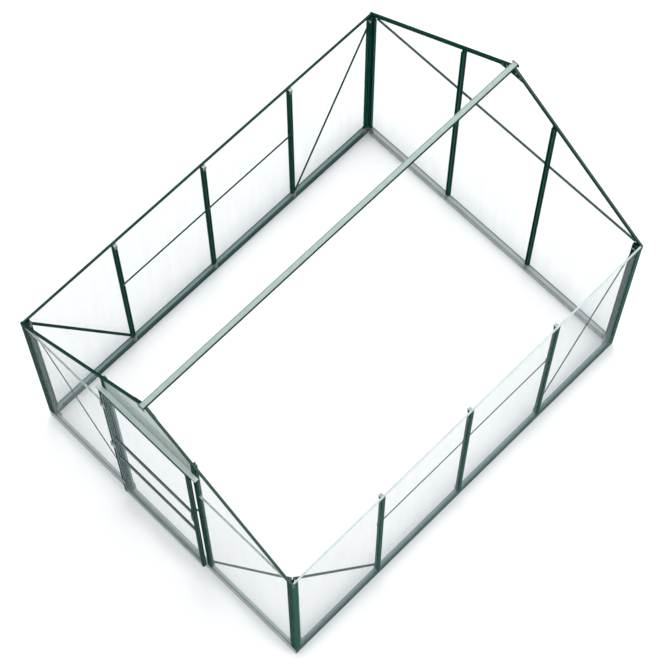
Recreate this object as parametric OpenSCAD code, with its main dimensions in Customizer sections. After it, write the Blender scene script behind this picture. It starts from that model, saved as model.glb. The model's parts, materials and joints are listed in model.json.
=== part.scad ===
// Walk-in gable greenhouse frame: ribbed base rail, glazing-bar posts, rafters,
// open roof, clear wall panels and a hinged door leaf with a turn latch.
// Millimetres. +Z up, -Y is the door gable, origin on the floor at the footprint centre.

/* [Overall] */
// Outside width across the gables
house_w = 1930; // [1750:5:2300]
// Outside length along the ridge
house_l = 2515; // [2000:5:3200]
// Height of the eaves above the floor
eave_h = 1333; // [1150:1:1450]
// Height of the ridge above the floor
ridge_h = 1996; // [1860:1:2200]
// Number of bays along each side wall
bays = 4; // [3:1:6]

/* [Base rail] */
// Height of the base rail
sill_h = 67; // [60:1:90]
// Depth of the base rail and of every bar in the walls
bar_d = 25; // [24:0.5:30]
// Height of the bolt slot in the base rail
sill_slot_z = 45; // [40:1:46]
// Depth of the ribs along the base rail
rib_d = 0.8; // [0.4:0.1:1.2]
// Radius of the ground anchor holes
anchor_r = 4; // [3:0.5:5]
// Distance of the anchor holes from the middle, along the gables
anchor_x = 700; // [500:10:800]
// Distance of the anchor holes from the outer face
anchor_d = 15; // [13:0.5:17]

/* [Bars] */
// Wall thickness of the extrusions
wall = 2; // [1.6:0.1:2.4]
// Face width of the side posts
post_w = 24; // [20:1:30]
// Face width of the posts beside the doorway
door_post_w = 28; // [24:1:34]
// Distance of the door posts and rear gable posts from the middle
door_post_x = 310; // [280:5:360]
// Outer face width of the corner posts
corner_w = 34; // [30:1:40]
// Height of the rafters
rafter_h = 24; // [22:1:30]
// Width of the ridge beam
ridge_w = 28; // [24:1:36]
// Height of the ridge beam
ridge_t = 26; // [20:1:36]
// Height of the eave beam
beam_h = 14; // [12:1:20]
// Height of the clear edge trim on the right wall
trim_h = 10; // [8:1:14]
// Height of the joint bars across the gables
joint_h = 8; // [7:0.5:12]
// How far the ridge stands out past each gable
ridge_out = 12; // [4:1:30]

/* [Bracing] */
// Width of the flat braces
brace_w = 18; // [12:1:20]
// Thickness of the flat braces and plates
flat_t = 2.5; // [2:0.5:3]
// Height of the rail across the middle bays
mid_rail_z = 830; // [500:5:1000]

/* [Panels] */
// Thickness of the wall panels
panel_t = 6; // [4:0.5:6]
// Gap all round a panel in its channel
panel_gap = 0.3; // [0.2:0.05:0.5]

/* [Doorway] */
// Top of the door head
header_z = 1640; // [1500:5:1680]
// How far the door head stands out
header_d = 24; // [20:0.5:36]
// Half length of the door head
header_x = 345; // [342:1:380]

/* [Door leaf] */
// Depth of the door leaf
leaf_d = 20; // [18:0.5:22]
// Gap between the leaf and the gable
leaf_off = 4.5; // [4:0.1:6]
// How far the leaf laps past the hinge post
leaf_lap = 4.5; // [3:0.5:6]
// Gap between the leaf and the latch post
latch_gap = 6.5; // [4:0.5:9]
// Bottom of the leaf
leaf_z0 = 70; // [68:1:90]
// Face width of the leaf stiles
stile_w = 26; // [24:1:32]
// Height of the leaf top rail
top_rail_h = 26; // [22:1:34]
// Height of the leaf bottom rail
bottom_rail_h = 45; // [36:1:60]
// Height of the two middle rails
mid_bar_h = 30; // [20:1:40]
// Centre heights of the two middle rails
mid_bar_z = [674, 960];

/* [Hinges and latch] */
// Hinge pin radius
pin_r = 2.5; // [2:0.1:3]
// Running clearance round the hinge pins and the latch spindle
run_clear = 0.05; // [0.02:0.01:0.1]
// Hinge height
hinge_h = 60; // [50:2:80]
// Height of the latch spindle
latch_z = 1004; // [1000:1:1080]
// Length of the latch lever
lever_l = 82; // [60:1:110]

/* [Fasteners] */
// Bolt shank radius
bolt_r = 3; // [2.5:0.1:3]
// Bolt hole clearance
bolt_clear = 0.3; // [0.2:0.1:0.5]

/* [Colours] */
// Powder coated frame
frame_col = [0.06, 0.25, 0.19];
// Clear panel
panel_col = [0.8, 0.9, 0.92, 0.35];
// Plated steel
steel_col = [0.7, 0.72, 0.72];
// Moulded plastic
plastic_col = [0.08, 0.1, 0.09];

/* [Hidden] */
$fn = 48;
eps = 0.01;
half_w = house_w / 2;
half_l = house_l / 2;
slope = atan((ridge_h - eave_h) / half_w);
pitch = house_l / bays;
side_s = [for (i = [1:bays - 1]) -half_l + i * pitch];
// depth of the glazing channel and where its inner shoulder ends
chan_d = panel_t + 2 * panel_gap;
shoulder_d = chan_d + 2 * wall;
panel_d = wall + panel_gap;
web_t = 3;
groove_h = 6;
panel_z0 = sill_h - groove_h + panel_gap;
// bolt slot shared by posts, rafters and base rail
slot_w = 2 * (bolt_r + 0.6);
slot_box = 16;
slot_lip = (slot_box - slot_w) / 2;
corner_web = 20;
// the corner bolts stand this far past the bars, clear of the bolts of the other wall
corner_past = 15;
corner_slot = bar_d + corner_past;
corner_in = corner_slot + slot_box / 2;
// fasteners
head_af = 10;
head_r = head_af / 2 / cos(30);
head_h = 4;
nut_h = 5;
shank_l = wall + flat_t + nut_h + 2.5;
hole_r = bolt_r + bolt_clear;
brace_end = 8;
foot_z0 = sill_slot_z - 9;
foot_bolt_z = sill_h + 15;
foot_z1 = foot_bolt_z + 10;
brace_z0 = foot_z1 + brace_end + 4;
brace_z1 = eave_h - 24;
foot_w = 20;
foot_in = corner_slot + 18;
bracket_leg = foot_in + 12;
top_bolt_z = eave_h - 32;
gusset_x = [32, 58];
screw_r = 2;
screw_head_h = 2.5;
// door leaf
leaf_x0 = -door_post_x - door_post_w / 2 - leaf_lap;
leaf_x1 = door_post_x - door_post_w / 2 - latch_gap;
leaf_top = header_z - 28;
leaf_y0 = -leaf_off - leaf_d;
leaf_y1 = -leaf_off;
stile_box = 16;
leaf_wall = 1.8;
leaf_chan = 6.6;
leaf_pane_t = 6;
pane_y = leaf_y0 + 7;
leaf_web = 2.4;
hinge_x = leaf_x0 - 5;
hinge_y = leaf_y0 - 2;
barrel_r = 4.5;
hinge_t = 2.5;
hinge_z = [leaf_z0 + 180, (leaf_z0 + leaf_top) / 2, leaf_top - 180];
knuckle_gap = 0.4;
knuckle_h = (hinge_h - 2 * knuckle_gap) / 3;
latch_x = leaf_x1 - stile_box / 2;
spindle_r = 4;
cam_t = 2.5;
cam_d = 3;
cam_w = 14;
cam_reach = door_post_x - web_t / 2 - 2.5 - latch_x;

// ---------- helpers ----------
function roof_z(x) = ridge_h - abs(x) * tan(slope);
function under_z(x, t) = roof_z(x) - t / cos(slope);

// box from one corner to the other
module box(a, b) {
    translate(a) cube(b - a);
}

// wall frames: x runs along the wall, y goes inwards from the outer face
module at_front() {
    translate([0, -half_l, 0]) children();
}

module at_back() {
    mirror([0, 1, 0]) at_front() children();
}

module at_left() {
    translate([-half_w, 0, 0]) mirror([1, -1, 0]) children();
}

module at_right() {
    mirror([1, 0, 0]) at_left() children();
}

module both_ends() {
    children();
    mirror([1, 0, 0]) children();
}

module drill(s, z, r, y0, y1) {
    translate([s, y0, z]) rotate([-90, 0, 0]) cylinder(h = y1 - y0, r = r);
}

// ---------- base rail ----------
module sill_bar(len) {
    difference() {
        intersection() {
            union() {
                box([-len / 2, 0, 0], [len / 2, wall, sill_h]);
                box([-len / 2, 0, 0], [len / 2, bar_d, wall]);
                box([-len / 2, 0, sill_h - groove_h - wall], [len / 2, shoulder_d, sill_h - groove_h]);
                box([-len / 2, shoulder_d - wall, sill_h - groove_h - wall], [len / 2, shoulder_d, sill_h]);
                box([-len / 2, shoulder_d - wall, sill_h - wall], [len / 2, bar_d, sill_h]);
                box([-len / 2, bar_d - wall, 0], [len / 2, bar_d, sill_slot_z - slot_w / 2]);
                box([-len / 2, bar_d - wall, sill_slot_z + slot_w / 2], [len / 2, bar_d, sill_h]);
            }
            linear_extrude(height = sill_h)
                polygon([[-len / 2, 0], [len / 2, 0], [len / 2 - bar_d, bar_d], [-len / 2 + bar_d, bar_d]]);
        }
        // fine ribs down the outer face and along the top
        for (z = [14, 24, 34, 44])
            box([-len / 2 - 1, -1, z], [len / 2 + 1, rib_d, z + 4]);
        for (y = [shoulder_d + 2.5, shoulder_d + 7.5])
            box([-len / 2 - 1, y, sill_h - rib_d], [len / 2 + 1, y + 2.5, sill_h + 1]);
    }
}

module gable_sill() {
    difference() {
        sill_bar(house_w);
        both_ends() translate([anchor_x, anchor_d, -1]) cylinder(h = wall + 2, r = anchor_r);
    }
}

module sill_front() {
    color(frame_col) at_front() gable_sill();
}

module sill_back() {
    color(frame_col) at_back() gable_sill();
}

module sill_left() {
    color(frame_col) at_left() sill_bar(house_l);
}

module sill_right() {
    color(frame_col) at_right() sill_bar(house_l);
}

// ---------- posts ----------
// glazing bar: two glazing channels outside, bolt slot inside
module bar_section(face_w) {
    half = face_w / 2;
    union() {
        translate([-half, 0]) square([face_w, wall]);
        translate([-web_t / 2, 0]) square([web_t, shoulder_d]);
        translate([-half, shoulder_d - wall]) square([face_w, wall]);
        for (m = [0, 1]) mirror([m, 0]) {
            translate([slot_box / 2 - wall, shoulder_d - wall]) square([wall, bar_d - shoulder_d + wall]);
            translate([slot_w / 2, bar_d - wall]) square([slot_lip, wall]);
        }
    }
}

module glazing_bar(face_w, z1) {
    translate([0, 0, sill_h]) linear_extrude(height = z1 - sill_h) bar_section(face_w);
}

// one leg of the corner post; the other is its mirror image
module corner_leg() {
    square([corner_w, wall]);
    translate([corner_web, 0]) square([wall, bar_d]);
    translate([corner_web, shoulder_d - wall]) square([corner_in - corner_web, wall]);
    translate([corner_in - wall, shoulder_d - wall]) square([wall, bar_d - shoulder_d + wall]);
    translate([corner_web, bar_d - wall]) square([corner_slot - slot_w / 2 - corner_web, wall]);
    translate([corner_slot + slot_w / 2, bar_d - wall]) square([corner_in - corner_slot - slot_w / 2, wall]);
}

// everything above the underside of the front left rafter, in row coordinates
module rafter_zone(depth) {
    translate([-half_w, -half_l - 1, eave_h])
        rotate([0, -slope, 0])
            translate([-200, 0, -rafter_h]) cube([half_w / cos(slope) + 400, depth + 1, 300]);
}

// corner post standing at the front left, cut for the rafter and the eave member
module corner_post(cap_h) {
    difference() {
        translate([-half_w, -half_l, sill_h]) linear_extrude(height = eave_h - sill_h) union() {
            corner_leg();
            mirror([1, -1]) corner_leg();
            translate([corner_web, corner_web]) square([bar_d - corner_web, bar_d - corner_web]);
        }
        rafter_zone(shoulder_d + panel_gap);
        translate([-half_w - 1, -half_l - 1, eave_h - cap_h])
            cube([corner_in + 2, corner_in + 2, cap_h + 1]);
    }
}

module post_front_left() {
    color(frame_col) corner_post(beam_h);
}

module post_back_left() {
    color(frame_col) mirror([0, 1, 0]) corner_post(beam_h);
}

module post_front_right() {
    color(frame_col) mirror([1, 0, 0]) corner_post(trim_h);
}

module post_back_right() {
    color(frame_col) mirror([1, 0, 0]) mirror([0, 1, 0]) corner_post(trim_h);
}

module side_posts_left() {
    color(frame_col) at_left() for (s = side_s) translate([s, 0, 0]) glazing_bar(post_w, eave_h - beam_h);
}

module side_posts_right() {
    color(frame_col) at_right() for (s = side_s) translate([s, 0, 0]) glazing_bar(post_w, eave_h - trim_h);
}

module gable_post(face_w) {
    difference() {
        at_front() translate([-door_post_x, 0, 0]) glazing_bar(face_w, ridge_h);
        rafter_zone(bar_d + 1);
    }
}

module gable_posts_back() {
    color(frame_col) mirror([0, 1, 0]) both_ends() gable_post(post_w);
}

module door_post_left() {
    color(frame_col) gable_post(door_post_w);
}

module door_post_right() {
    color(frame_col) mirror([1, 0, 0]) gable_post(door_post_w);
}

// ---------- eaves, rafters, ridge ----------
module eave_channel(h, t, out) {
    len = house_l - 2 * shoulder_d;
    box([-len / 2, out, eave_h - h], [len / 2, out + t, eave_h]);
    box([-len / 2, out, eave_h - t], [len / 2, shoulder_d - wall + t, eave_h]);
    box([-len / 2, shoulder_d - wall, eave_h - h], [len / 2, shoulder_d - wall + t, eave_h]);
}

module eave_beam_left() {
    color(frame_col) at_left() union() eave_channel(beam_h, wall, 0);
}

module eave_trim_right() {
    color(panel_col) at_right() union() eave_channel(trim_h, wall / 2, wall / 2);
}

module rafter_bar() {
    len = half_w / cos(slope) + 80;
    translate([-40, 0, 0]) {
        box([0, 0, -rafter_h], [len, wall, 0]);
        box([0, 0, -wall], [len, shoulder_d, 0]);
        box([0, shoulder_d - wall, -rafter_h], [len, shoulder_d, 0]);
    }
}

// front left rafter, cut upright at the eave and at the side of the ridge
module rafter() {
    difference() {
        intersection() {
            translate([-half_w, -half_l, eave_h]) rotate([0, -slope, 0]) rafter_bar();
            box([-half_w, -half_l - 1, eave_h - 200], [-ridge_w / 2, -half_l + bar_d + 1, ridge_h + 50]);
        }
        at_front() for (x = gusset_x)
            drill(-x, under_z(x, rafter_h / 2), screw_r + 0.1, shoulder_d - wall - 1, shoulder_d + 1);
    }
}

module rafter_front_left() {
    color(frame_col) rafter();
}

module rafter_front_right() {
    color(frame_col) mirror([1, 0, 0]) rafter();
}

module rafter_back_left() {
    color(frame_col) mirror([0, 1, 0]) rafter();
}

module rafter_back_right() {
    color(frame_col) mirror([1, 0, 0]) mirror([0, 1, 0]) rafter();
}

// hollow ridge with a raised lip along both edges
module ridge_beam() {
    len = house_l + 2 * ridge_out;
    lip = 3;
    color(frame_col) translate([0, -len / 2, ridge_h - ridge_t]) difference() {
        box([-ridge_w / 2, 0, 0], [ridge_w / 2, len, ridge_t]);
        box([-ridge_w / 2 + wall, -1, wall], [ridge_w / 2 - wall, len + 1, ridge_t - lip - wall]);
        box([-ridge_w / 2 + wall, -1, ridge_t - lip], [ridge_w / 2 - wall, len + 1, ridge_t + 1]);
    }
}

module ridge_cap() {
    cap_w = 44;
    cap_h = ridge_t + 3;
    y = -half_l - ridge_out;
    box([-cap_w / 2, y - wall, ridge_h + 1 - cap_h], [cap_w / 2, y, ridge_h + 1]);
}

module ridge_end_caps() {
    color(plastic_col) {
        ridge_cap();
        mirror([0, 1, 0]) ridge_cap();
    }
}

// plate inside the gable that ties both rafters under the ridge
module apex_gusset() {
    wing = 74;
    drop = 74;
    notch = ridge_w / 2 + panel_gap;
    notch_z = ridge_h - ridge_t - panel_gap;
    at_front() difference() {
        translate([0, shoulder_d + flat_t, 0]) rotate([90, 0, 0]) linear_extrude(height = flat_t)
            polygon([[-wing, under_z(wing, 2)], [-notch, under_z(notch, 2)], [-notch, notch_z], [notch, notch_z],
                [notch, under_z(notch, 2)], [wing, under_z(wing, 2)], [wing, under_z(wing, 22)],
                [20, ridge_h - drop], [-20, ridge_h - drop], [-wing, under_z(wing, 22)]]);
        both_ends() for (x = gusset_x)
            drill(x, under_z(x, rafter_h / 2), screw_r + 0.1, shoulder_d - 1, shoulder_d + flat_t + 1);
    }
}

module apex_gussets() {
    color(frame_col) {
        apex_gusset();
        mirror([0, 1, 0]) apex_gusset();
    }
}

// pan head screw through the gusset into the inner flange of a rafter
module gusset_screw(x) {
    y = shoulder_d + flat_t;
    union() {
        drill(x, under_z(x, rafter_h / 2), screw_r, shoulder_d - wall + 0.1, y + 1);
        drill(x, under_z(x, rafter_h / 2), 2 * screw_r, y, y + screw_head_h);
    }
}

module gusset_screws() {
    color(steel_col) {
        at_front() both_ends() for (x = gusset_x) gusset_screw(x);
        at_back() both_ends() for (x = gusset_x) gusset_screw(x);
    }
}

// moulded cap over the open foot of a rafter
module corner_cap() {
    drop = rafter_h / cos(slope);
    box([-half_w - flat_t, -half_l, eave_h - drop - 4], [-half_w, -half_l + shoulder_d + 3, eave_h + 2]);
}

module corner_caps() {
    color(plastic_col) both_ends() {
        corner_cap();
        mirror([0, 1, 0]) corner_cap();
    }
}

// ---------- gable cross bars at eave height ----------
joint_z = eave_h - (beam_h + joint_h) / 2;

// H bar between two posts: outer flange x0..x1, inner flange and web in0..in1
module h_bar(x0, x1, in0, in1, z0, h) {
    box([x0, 0, z0], [x1, wall, z0 + h]);
    box([in0, 0, z0 + h / 2 - leaf_web / 2], [in1, shoulder_d, z0 + h / 2 + leaf_web / 2]);
    box([in0, shoulder_d - wall, z0], [in1, shoulder_d, z0 + h]);
}

module side_gable_bar(face_w) {
    reach = door_post_x + face_w / 2;
    difference() {
        at_front() union()
            h_bar(-half_w + corner_w, -reach, -half_w + corner_in, -reach, joint_z, joint_h);
        rafter_zone(bar_d);
    }
}

module gable_bars_back() {
    inner = door_post_x - post_w / 2;
    color(frame_col) mirror([0, 1, 0]) {
        both_ends() side_gable_bar(post_w);
        at_front() union() h_bar(-inner, inner, -inner, inner, joint_z, joint_h);
    }
}

module gable_bars_front() {
    color(frame_col) both_ends() side_gable_bar(door_post_w);
}

// ---------- bracing ----------
// flat strip on the inner faces, bolted at points a and b given as [along, z]
module strip(a, b) {
    d = b - a;
    len = norm(d);
    translate([a[0], bar_d, a[1]]) rotate([0, -atan2(d[1], d[0]), 0]) difference() {
        box([-brace_end, 0, -brace_w / 2], [len + brace_end, flat_t, brace_w / 2]);
        for (s = [0, len]) drill(s, 0, hole_r, -1, flat_t + 1);
    }
}

side_top = [half_l - corner_slot, brace_z1];
side_foot = [half_l - pitch, brace_z0];
gable_top = [half_w - corner_slot, brace_z1];
gable_foot = [door_post_x, brace_z0];

module side_braces() {
    both_ends() strip(side_foot, side_top);
}

module braces_left() {
    color(frame_col) at_left() side_braces();
}

module braces_right() {
    color(frame_col) at_right() side_braces();
}

module braces_front() {
    color(frame_col) at_front() both_ends() strip(gable_foot, gable_top);
}

module mid_rail() {
    last = side_s[len(side_s) - 1];
    difference() {
        strip([-last, mid_rail_z], [last, mid_rail_z]);
        for (s = side_s) drill(s, mid_rail_z, hole_r, bar_d - 1, bar_d + flat_t + 1);
    }
}

module mid_rail_left() {
    color(frame_col) at_left() mid_rail();
}

module mid_rail_right() {
    color(frame_col) at_right() mid_rail();
}

// ---------- wall panels ----------
module sheet(points) {
    translate([0, panel_d + panel_t, 0]) rotate([90, 0, 0]) linear_extrude(height = panel_t) polygon(points);
}

module rect_sheet(x0, x1, z0, z1) {
    sheet([[x0, z0], [x1, z0], [x1, z1], [x0, z1]]);
}

module side_panels(z1) {
    edge = half_l - corner_web - wall - panel_gap;
    inset = web_t / 2 + panel_gap;
    for (i = [0:bays - 1]) {
        x0 = i == 0 ? -edge : -half_l + i * pitch + inset;
        x1 = i == bays - 1 ? edge : -half_l + (i + 1) * pitch - inset;
        rect_sheet(x0, x1, panel_z0, z1);
    }
}

// end panels are notched where the rafter feet land on the corner posts
module clear_of_rafters() {
    difference() {
        children();
        rafter_zone(shoulder_d + panel_gap);
        mirror([0, 1, 0]) rafter_zone(shoulder_d + panel_gap);
    }
}

module panels_left() {
    color(panel_col) clear_of_rafters() at_left() side_panels(eave_h - wall - panel_gap);
}

module panels_right() {
    color(panel_col) mirror([1, 0, 0]) clear_of_rafters() at_left() side_panels(eave_h - wall / 2 - panel_gap);
}

panel_out = half_w - corner_web - wall - panel_gap;
panel_in = door_post_x + web_t / 2 + panel_gap;
panel_mid = door_post_x - web_t / 2 - panel_gap;
bar_mid = eave_h - beam_h / 2;
bar_edge = leaf_web / 2 + panel_gap;
roof_t = wall + panel_gap;

module gable_side_lower() {
    both_ends() rect_sheet(panel_in, panel_out, panel_z0, bar_mid - bar_edge);
}

module gable_side_upper() {
    both_ends() sheet([[panel_in, bar_mid + bar_edge], [panel_out, bar_mid + bar_edge],
        [panel_out, under_z(panel_out, roof_t)], [panel_in, under_z(panel_in, roof_t)]]);
}

module peak_sheet(z0) {
    notch = ridge_w / 2 + panel_gap;
    notch_z = ridge_h - ridge_t - panel_gap;
    sheet([[-panel_mid, z0], [panel_mid, z0], [panel_mid, under_z(panel_mid, roof_t)],
        [notch, under_z(notch, roof_t)], [notch, notch_z], [-notch, notch_z], [-notch, under_z(notch, roof_t)],
        [-panel_mid, under_z(panel_mid, roof_t)]]);
}

module panels_back_lower() {
    color(panel_col) at_back() {
        gable_side_lower();
        rect_sheet(-panel_mid, panel_mid, panel_z0, bar_mid - bar_edge);
    }
}

module panels_back_upper() {
    color(panel_col) at_back() {
        gable_side_upper();
        peak_sheet(bar_mid + bar_edge);
    }
}

module panels_front_lower() {
    color(panel_col) at_front() gable_side_lower();
}

module panels_front_upper() {
    color(panel_col) at_front() gable_side_upper();
}

// half length of a rib that stays between the door posts and under the rafters
function rib_end(z) = min(door_post_x - door_post_w / 2,
    (ridge_h - rafter_h / cos(slope) - z) / tan(slope)) - 2;

// ribbed board over the doorway
module head_panel() {
    rib_h = 4;
    color(panel_col) at_front() union() {
        peak_sheet(header_z - mid_bar_h / 2 + bar_edge);
        for (z = [header_z + 30, header_z + 66, header_z + 102, header_z + 138])
            box([-rib_end(z + rib_h), panel_d - 1.6, z], [rib_end(z + rib_h), panel_d + eps, z + rib_h]);
    }
}

module head_rail() {
    inner = door_post_x - door_post_w / 2;
    color(frame_col) at_front() union() h_bar(-inner, inner, -inner, inner, header_z - mid_bar_h, mid_bar_h);
}

// drip cap that shelters the top of the leaf
module door_header() {
    top_t = 3;
    lip_h = 12;
    back_h = 40;
    color(frame_col) at_front() union() {
        box([-header_x, -header_d, header_z - top_t], [header_x, 0, header_z]);
        box([-header_x, -header_d, header_z - lip_h], [header_x, wall - header_d, header_z]);
        box([-header_x, -top_t, header_z - back_h], [header_x, 0, header_z]);
    }
}

// ---------- brackets ----------
module foot_plate(s) {
    difference() {
        box([s - foot_w / 2, bar_d, foot_z0], [s + foot_w / 2, bar_d + flat_t, foot_z1]);
        for (z = [sill_slot_z, foot_bolt_z]) drill(s, z, hole_r, bar_d - 1, bar_d + flat_t + 1);
    }
}

module foot_plates() {
    color(steel_col) {
        at_left() for (s = side_s) foot_plate(s);
        at_right() for (s = side_s) foot_plate(s);
        at_front() both_ends() foot_plate(door_post_x);
        at_back() both_ends() foot_plate(door_post_x);
    }
}

module bracket_leg_plate() {
    difference() {
        box([bar_d, bar_d, foot_z0], [bracket_leg, bar_d + flat_t, foot_z1]);
        drill(corner_slot, foot_bolt_z, hole_r, bar_d - 1, bar_d + flat_t + 1);
        drill(foot_in, sill_slot_z, hole_r, bar_d - 1, bar_d + flat_t + 1);
    }
}

module corner_bracket() {
    translate([-half_w, -half_l, 0]) union() {
        bracket_leg_plate();
        mirror([1, -1, 0]) bracket_leg_plate();
    }
}

module sill_corner_brackets() {
    color(steel_col) both_ends() {
        corner_bracket();
        mirror([0, 1, 0]) corner_bracket();
    }
}

// angle that ties a post top to the eave member above it
module top_bracket(s, cap_h, reach) {
    z1 = eave_h - cap_h + flat_t;
    difference() {
        union() {
            box([s - foot_w / 2, bar_d, top_bolt_z - 10], [s + foot_w / 2, bar_d + flat_t, z1]);
            box([s - foot_w / 2, reach, z1 - flat_t], [s + foot_w / 2, bar_d + flat_t, z1]);
        }
        drill(s, top_bolt_z, hole_r, bar_d - 1, bar_d + flat_t + 1);
    }
}

module post_top_brackets() {
    color(steel_col) {
        at_left() for (s = side_s) top_bracket(s, beam_h, shoulder_d);
        at_right() for (s = side_s) top_bracket(s, trim_h, shoulder_d - wall / 2);
    }
}

// ---------- bolts ----------
// bolted points of one wall as [along, z]; the walls mirror them about the middle
function corner_points(half) = [[half - corner_slot, foot_bolt_z], [half - foot_in, sill_slot_z]];
function post_points(s) = [[s, sill_slot_z], [s, foot_bolt_z]];

side_end_points = concat(corner_points(half_l), [side_top, side_foot]);
back_points = concat(corner_points(half_w), post_points(door_post_x));
front_points = concat(back_points, [gable_top, gable_foot]);

module at_points(points) {
    for (p = points) translate([p[0], 0, p[1]]) children();
}

module at_side_points() {
    both_ends() at_points(side_end_points) children();
    for (s = side_s) at_points(concat(post_points(s), [[s, mid_rail_z], [s, top_bolt_z]])) children();
}

module at_all_points() {
    at_left() at_side_points() children();
    at_right() at_side_points() children();
    at_front() both_ends() at_points(front_points) children();
    at_back() both_ends() at_points(back_points) children();
}

module bolt() {
    y0 = bar_d - wall - head_h;
    rotate([-90, 0, 0]) union() {
        translate([0, 0, y0]) cylinder(h = head_h, r = head_r, $fn = 6);
        translate([0, 0, y0 + 1]) cylinder(h = shank_l + head_h - 1, r = bolt_r);
    }
}

module nut() {
    translate([0, bar_d + flat_t, 0]) rotate([-90, 0, 0]) difference() {
        cylinder(h = nut_h, r = head_r, $fn = 6);
        translate([0, 0, -1]) cylinder(h = nut_h + 2, r = bolt_r + run_clear);
    }
}

module bolts() {
    color(steel_col) at_all_points() bolt();
}

module nuts() {
    color(steel_col) at_all_points() nut();
}

// ---------- door leaf ----------
rail_x0 = leaf_x0 + stile_box;
rail_x1 = leaf_x1 - stile_box;
flange_h = stile_w - stile_box;

// the two flanges of the leaf's glazing channel
module leaf_flanges(a, b) {
    box([a[0], pane_y - wall, a[1]], [b[0], pane_y, b[1]]);
    box([a[0], pane_y + leaf_chan, a[1]], [b[0], pane_y + leaf_chan + wall, b[1]]);
}

module rail_zones() {
    zone = [[leaf_z0 - 1, leaf_z0 + bottom_rail_h], [leaf_top - top_rail_h, leaf_top + 1],
        [mid_bar_z[0] - mid_bar_h / 2, mid_bar_z[0] + mid_bar_h / 2],
        [mid_bar_z[1] - mid_bar_h / 2, mid_bar_z[1] + mid_bar_h / 2]];
    for (z = zone) box([rail_x0, leaf_y0 - 1, z[0]], [rail_x1, leaf_y1 + 1, z[1]]);
}

// stile standing at the hinge side of the leaf
module stile_blank() {
    difference() {
        union() {
            box([leaf_x0, leaf_y0, leaf_z0], [rail_x0, leaf_y1, leaf_top]);
            leaf_flanges([rail_x0 - eps, leaf_z0], [rail_x0 + flange_h, leaf_top]);
        }
        box([leaf_x0 + leaf_wall, leaf_y0 + leaf_wall, leaf_z0 - 1],
            [rail_x0 - leaf_wall, leaf_y1 - leaf_wall, leaf_top + 1]);
        rail_zones();
    }
}

module door_stile_hinge() {
    color(frame_col) at_front() difference() {
        stile_blank();
        for (z = hinge_z, dz = [-1, 1])
            drill(screw_x, z + dz * screw_z, screw_r + 0.1, leaf_y0 - 1, leaf_y0 + leaf_wall + 1);
    }
}

module door_stile_latch() {
    mid = (leaf_x0 + leaf_x1) / 2;
    color(frame_col) at_front() difference() {
        translate([mid, 0, 0]) mirror([1, 0, 0]) translate([-mid, 0, 0]) stile_blank();
        drill(latch_x, latch_z, spindle_r + run_clear, leaf_y0 - 1, leaf_y1 + 1);
    }
}

// hollow rail z0..z1 with its flanges on the side given by up
module leaf_rail(z0, z1, up) {
    b0 = up ? z0 : z0 + flange_h;
    b1 = up ? z1 - flange_h : z1;
    difference() {
        union() {
            box([rail_x0, leaf_y0, b0], [rail_x1, leaf_y1, b1]);
            leaf_flanges([rail_x0, z0], [rail_x1, z1]);
        }
        box([rail_x0 - 1, leaf_y0 + leaf_wall, b0 + leaf_wall], [rail_x1 + 1, leaf_y1 - leaf_wall, b1 - leaf_wall]);
    }
}

module door_top_rail() {
    color(frame_col) at_front() leaf_rail(leaf_top - top_rail_h, leaf_top, false);
}

module door_bottom_rail() {
    color(frame_col) at_front() leaf_rail(leaf_z0, leaf_z0 + bottom_rail_h, true);
}

module door_mid_rails() {
    color(frame_col) at_front() for (z = mid_bar_z) union() {
        leaf_flanges([rail_x0, z - mid_bar_h / 2], [rail_x1, z + mid_bar_h / 2]);
        box([rail_x0, pane_y - wall, z - leaf_web / 2], [rail_x1, pane_y + leaf_chan, z + leaf_web / 2]);
    }
}

module door_panes() {
    off = leaf_web / 2 + panel_gap;
    spans = [[leaf_z0 + bottom_rail_h - flange_h + panel_gap, mid_bar_z[0] - off],
        [mid_bar_z[0] + off, mid_bar_z[1] - off],
        [mid_bar_z[1] + off, leaf_top - top_rail_h + flange_h - panel_gap]];
    color(panel_col) at_front() for (z = spans)
        box([rail_x0 + panel_gap, pane_y + panel_gap, z[0]],
            [rail_x1 - panel_gap, pane_y + leaf_chan - panel_gap, z[1]]);
}

// rounded plug under a stile and flat plug on top of it
module stile_plug() {
    cx = leaf_x0 + stile_box / 2;
    intersection() {
        drill(cx, leaf_z0, stile_box / 2, leaf_y0, leaf_y1);
        box([leaf_x0, leaf_y0, leaf_z0 - stile_box], [rail_x0, leaf_y1, leaf_z0]);
    }
    box([leaf_x0, leaf_y0, leaf_top], [rail_x0, leaf_y1, leaf_top + wall]);
}

module stile_caps() {
    mid = (leaf_x0 + leaf_x1) / 2;
    color(plastic_col) at_front() {
        stile_plug();
        translate([mid, 0, 0]) mirror([1, 0, 0]) translate([-mid, 0, 0]) stile_plug();
    }
}

// ---------- hinges ----------
screw_x = leaf_x0 + stile_box / 2;
screw_z = hinge_h / 3;

module knuckle(z0, z1) {
    translate([hinge_x, hinge_y, z0]) cylinder(h = z1 - z0, r = barrel_r);
}

module pin_bore(z) {
    translate([hinge_x, hinge_y, z - hinge_h]) cylinder(h = 2 * hinge_h, r = pin_r + run_clear);
}

module hinge_leaf_plate(z) {
    difference() {
        union() {
            box([leaf_x0 + 0.4, leaf_y0 - hinge_t, z - hinge_h / 2], [leaf_x0 + stile_w - 2, leaf_y0, z + hinge_h / 2]);
            box([hinge_x, leaf_y0 - hinge_t, z - knuckle_h / 2], [leaf_x0 + 1, leaf_y0, z + knuckle_h / 2]);
            knuckle(z - knuckle_h / 2, z + knuckle_h / 2);
        }
        pin_bore(z);
        for (dz = [-1, 1]) drill(screw_x, z + dz * screw_z, screw_r + 0.1, leaf_y0 - hinge_t - 1, leaf_y0 + 1);
    }
}

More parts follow.
